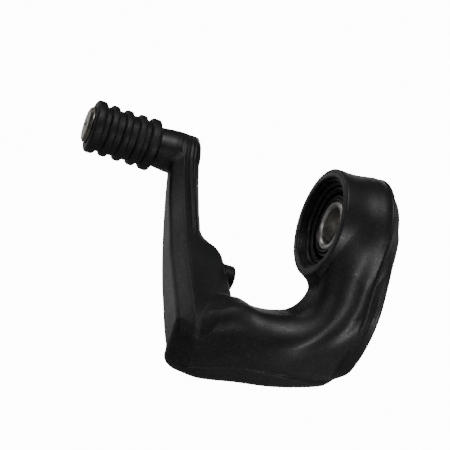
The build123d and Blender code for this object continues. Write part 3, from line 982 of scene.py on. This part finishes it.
class LEVER_OT_sleeve(Operator):
    """Build the ground steel sleeve that the lever turns on"""

    bl_idname = "lever.sleeve"
    bl_label = "Pivot Sleeve"

    def execute(self, context):
        colour = tuple(context.scene.lever_finish.steel_colour)
        low, high = float(SLEEVE_LOW[0]), float(SLEEVE_HIGH[0])
        outer, bore = float(SLEEVE_R), SLEEVE_BORE_R
        outline = [
            (low, bore + SLEEVE_CHAMFER),
            (low, outer - SLEEVE_EDGE),
            (low + SLEEVE_EDGE, outer),
            (high - SLEEVE_EDGE, outer),
            (high, outer - SLEEVE_EDGE),
            (high, bore + SLEEVE_CHAMFER),
            (high - SLEEVE_CHAMFER, bore),
            (low + SLEEVE_CHAMFER, bore),
        ]
        sleeve = lathe("ground_sleeve", rounded(outline, 0.12), segments=160)
        metal = turned_metal("ground_steel", colour, 0.34, 0.00018)
        finish_piece(sleeve, PIVOT, metal, ["pivot_sleeve"])
        return {"FINISHED"}


class LEVER_OT_seals(Operator):
    """Build the visible faces of the two rubber seals"""

    bl_idname = "lever.seals"
    bl_label = "Seals"

    def execute(self, context):
        rubber = seal_rubber_material()
        lip = float(SLEEVE_R) + LIP_GAP
        outer = float(SEAL_R)
        face, back = float(SEAL_LOW[0]), float(SEAL_HIGH[0])
        outline = [
            (face + 0.9, lip),
            (face + 0.1, lip + 0.25),
            (face + 0.1, lip + 0.9),
            (face + 0.8, lip + 1.5),
            (face + 0.8, outer - 1.9),
            (face, outer - 1.5),
            (face, outer - 0.3),
            (face + 0.3, outer),
            (back, outer),
            (back, outer - 0.9),
            (back - 3.0, outer - 1.1),
            (back - 3.0, lip + 1.6),
        ]
        piece = lathe("outboard_seal", rounded(outline, 0.15), segments=144)
        finish_piece(piece, LEVER, rubber, ["seal_outboard_rubber"])
        inner_low, inner_high = span("seal_inboard_rubber")
        low, high = float(inner_low[0]), float(inner_high[0])
        radius = float(inner_high[2])
        outline = [
            (low, radius),
            (high - 0.2, radius),
            (high, radius - 0.3),
            (high, radius - 0.9),
            (high - 0.5, radius - 1.2),
            (high - 0.5, lip + 0.8),
            (high, lip + 0.4),
            (high - 0.2, lip),
            (high - 0.6, lip),
            (high - 1.4, lip + 1.0),
            (low, radius - 0.9),
        ]
        piece = lathe("inboard_seal", rounded(outline, 0.12), segments=144)
        finish_piece(piece, LEVER, rubber, ["seal_inboard_rubber"])
        return {"FINISHED"}


class LEVER_OT_bearing(Operator):
    """Give the bearing and the seals' hidden metal their polished steel"""

    bl_idname = "lever.bearing"
    bl_label = "Bearing Metal"

    def execute(self, context):
        metal = turned_metal("bearing_steel", (0.5, 0.5, 0.49), 0.22, 0.0003)
        hidden = ["bearing_shell", "bearing_cage", "bearing_needles", "seal_outboard_case",
                  "seal_outboard_spring", "seal_inboard_case"]
        for node in hidden:
            slots = frame["nodes"][node].material_slots
            if not slots:
                raise ValueError(f"{node} has no material slot")
            for slot in slots:
                slot.material = metal
        return {"FINISHED"}


# Softboxes: name, place from the middle of the lever, width in metres and share of the key power.
LIGHTS = [
    ("back_light", (-0.45, 0.85, 0.12), 0.6, 0.3),
    ("side_light", (-0.45, 0.40, 0.75), 0.35, 0.2),
    ("top_light", (-0.08, -0.45, 0.80), 0.30, 1.1),
    ("right_light", (0.62, -0.52, -0.06), 0.13, 0.04),
    ("low_light", (0.24, -0.55, -0.14), 0.09, 0.3),
    ("left_light", (-0.62, -0.42, 0.22), 0.12, 0.13),
    ("front_light", (0.50, 0.75, 0.40), 0.5, 0.22),
    ("inboard_light", (0.90, 0.05, 0.20), 0.4, 0.15),
]
FLOOR_DROP = 0.16
FLOOR_FLAT = 1.3
FLOOR_RISE = 1.0
FLOOR_TOP = 3.0
FLOOR_STEPS = 12
FLOOR_SEGMENTS = 64
FLOOR_GLOW = 14.0
FLOOR_GLOW_SHARE = 0.97
WORLD_STRENGTH = 0.05
EYE_PLACE = (-0.162, -0.3383, -0.0119)
EYE_AZIMUTH = radians(-18.0)
EYE_ROLL = radians(17.0)
SENSOR_WIDTH = 36.0
CLIP_NEAR = 0.01
CLIP_FAR = 20.0


class LEVER_OT_stage(Operator):
    """Build the floor, the soft lights and the camera"""

    bl_idname = "lever.stage"
    bl_label = "Studio"

    def execute(self, context):
        settings = context.scene.lever_studio
        low, high = cad_box
        floor_z = low.z - FLOOR_DROP
        self.floor(settings, floor_z)
        self.world()
        centre = (low + high) / 2
        power = settings.key_power
        for name, offset, size, share in LIGHTS:
            self.softbox(name, centre + Vector(offset), centre, size, power * share)
        self.camera(context, settings)
        return {"FINISHED"}

    def floor(self, settings, floor_z):
        """Round sweep: flat under the part and rising well outside every view."""
        profile = [(FLOOR_FLAT, 0.0)]
        for i in range(1, FLOOR_STEPS + 1):
            angle = pi / 2 * i / FLOOR_STEPS
            profile.append((FLOOR_FLAT + FLOOR_RISE * sin(angle), FLOOR_RISE * (1 - cos(angle))))
        profile.append((FLOOR_FLAT + FLOOR_RISE, FLOOR_TOP))
        points = []
        for i in range(FLOOR_SEGMENTS):
            turn = 2 * pi * i / FLOOR_SEGMENTS
            points += [(r * cos(turn), r * sin(turn), floor_z + h) for r, h in profile]
        points.append((0, 0, floor_z))
        n = len(profile)
        faces = []
        for i in range(FLOOR_SEGMENTS):
            a, b = i * n, (i + 1) % FLOOR_SEGMENTS * n
            faces.append((len(points) - 1, a, b))
            faces += [(a + j, a + j + 1, b + j + 1, b + j) for j in range(n - 1)]
        sweep = new_object("studio_sweep", np.array(points) / MM, faces)
        material = bpy.data.materials.new("studio_white")
        material.use_nodes = True
        tree = material.node_tree
        tree.nodes.clear()
        graph = Graph(tree)
        paper = graph.node("ShaderNodeBsdfDiffuse", {"Color": (*(c * 0.5 for c in settings.floor_colour), 1)})
        glow = graph.node("ShaderNodeEmission", {
            "Color": (*settings.floor_colour, 1), "Strength": FLOOR_GLOW})
        seen = graph.node("ShaderNodeLightPath").outputs["Is Camera Ray"]
        both = graph.node("ShaderNodeMixShader", {0: graph.math("MULTIPLY", seen, FLOOR_GLOW_SHARE)})
        graph.feed(both.inputs[1], paper.outputs[0])
        graph.feed(both.inputs[2], glow.outputs[0])
        out = graph.node("ShaderNodeOutputMaterial")
        graph.feed(out.inputs["Surface"], both.outputs[0])
        sweep.data.materials.append(material)

    def world(self):
        """Dim even light from all round."""
        world = bpy.data.worlds.new("studio_world")
        world.use_nodes = True
        background = world.node_tree.nodes["Background"]
        background.inputs["Color"].default_value = (1.0, 1.0, 1.0, 1)
        background.inputs["Strength"].default_value = WORLD_STRENGTH
        bpy.context.scene.world = world

    def softbox(self, name, place, target, size, power):
        """Square area light aimed at the part."""
        light = bpy.data.lights.new(name, "AREA")
        light.shape = "SQUARE"
        light.size = size
        light.energy = power
        lamp = bpy.data.objects.new(name, light)
        lamp.location = place
        lamp.rotation_euler = (target - place).to_track_quat("-Z", "Y").to_euler()
        lamp.visible_camera = False
        bpy.context.scene.collection.objects.link(lamp)

    def camera(self, context, settings):
        """Camera behind and outboard of the lever, level, and rolled as the part was held."""
        data = bpy.data.cameras.new("camera")
        data.lens = settings.lens
        data.sensor_width = SENSOR_WIDTH
        data.clip_start = CLIP_NEAR
        data.clip_end = CLIP_FAR
        eye = bpy.data.objects.new("camera", data)
        back = Vector((sin(EYE_AZIMUTH), -cos(EYE_AZIMUTH), 0))
        level = Vector((cos(EYE_AZIMUTH), sin(EYE_AZIMUTH), 0))
        up = Vector((0, 0, 1))
        right = level * cos(EYE_ROLL) + up * sin(EYE_ROLL)
        top = up * cos(EYE_ROLL) - level * sin(EYE_ROLL)
        turn = Matrix((right, top, back)).transposed()
        eye.matrix_world = Matrix.Translation(EYE_PLACE) @ turn.to_4x4()
        context.scene.collection.objects.link(eye)
        context.scene.camera = eye


OPERATORS = (LEVER_OT_arm, LEVER_OT_cup, LEVER_OT_peg, LEVER_OT_sleeve, LEVER_OT_seals, LEVER_OT_bearing,
             LEVER_OT_stage)


class LEVER_PT_tools(Panel):
    """Sidebar panel that lists the pieces of the lever"""

    bl_label = "Shift Lever"
    bl_idname = "LEVER_PT_tools"
    bl_space_type = "VIEW_3D"
    bl_region_type = "UI"
    bl_category = "Shift Lever"

    def draw(self, context):
        for operator in OPERATORS:
            self.layout.operator(operator.bl_idname)
        for settings in (context.scene.lever_casting, context.scene.lever_peg,
                         context.scene.lever_finish, context.scene.lever_studio):
            column = self.layout.column()
            for name in settings.__annotations__:
                column.prop(settings, name)


CLASSES = (CastingSettings, PegSettings, FinishSettings, StudioSettings, *OPERATORS, LEVER_PT_tools)


def register():
    for item in CLASSES:
        bpy.utils.register_class(item)
    bpy.types.Scene.lever_casting = PointerProperty(type=CastingSettings)
    bpy.types.Scene.lever_peg = PointerProperty(type=PegSettings)
    bpy.types.Scene.lever_finish = PointerProperty(type=FinishSettings)
    bpy.types.Scene.lever_studio = PointerProperty(type=StudioSettings)


def unregister():
    for name in ("lever_casting", "lever_peg", "lever_finish", "lever_studio"):
        delattr(bpy.types.Scene, name)
    for item in reversed(CLASSES):
        bpy.utils.unregister_class(item)


def main():
    register()
    bpy.ops.lever.stage()
    bpy.ops.lever.arm()
    bpy.ops.lever.cup()
    bpy.ops.lever.peg()
    bpy.ops.lever.sleeve()
    bpy.ops.lever.seals()
    bpy.ops.lever.bearing()


if __name__ == "__main__":
    main()
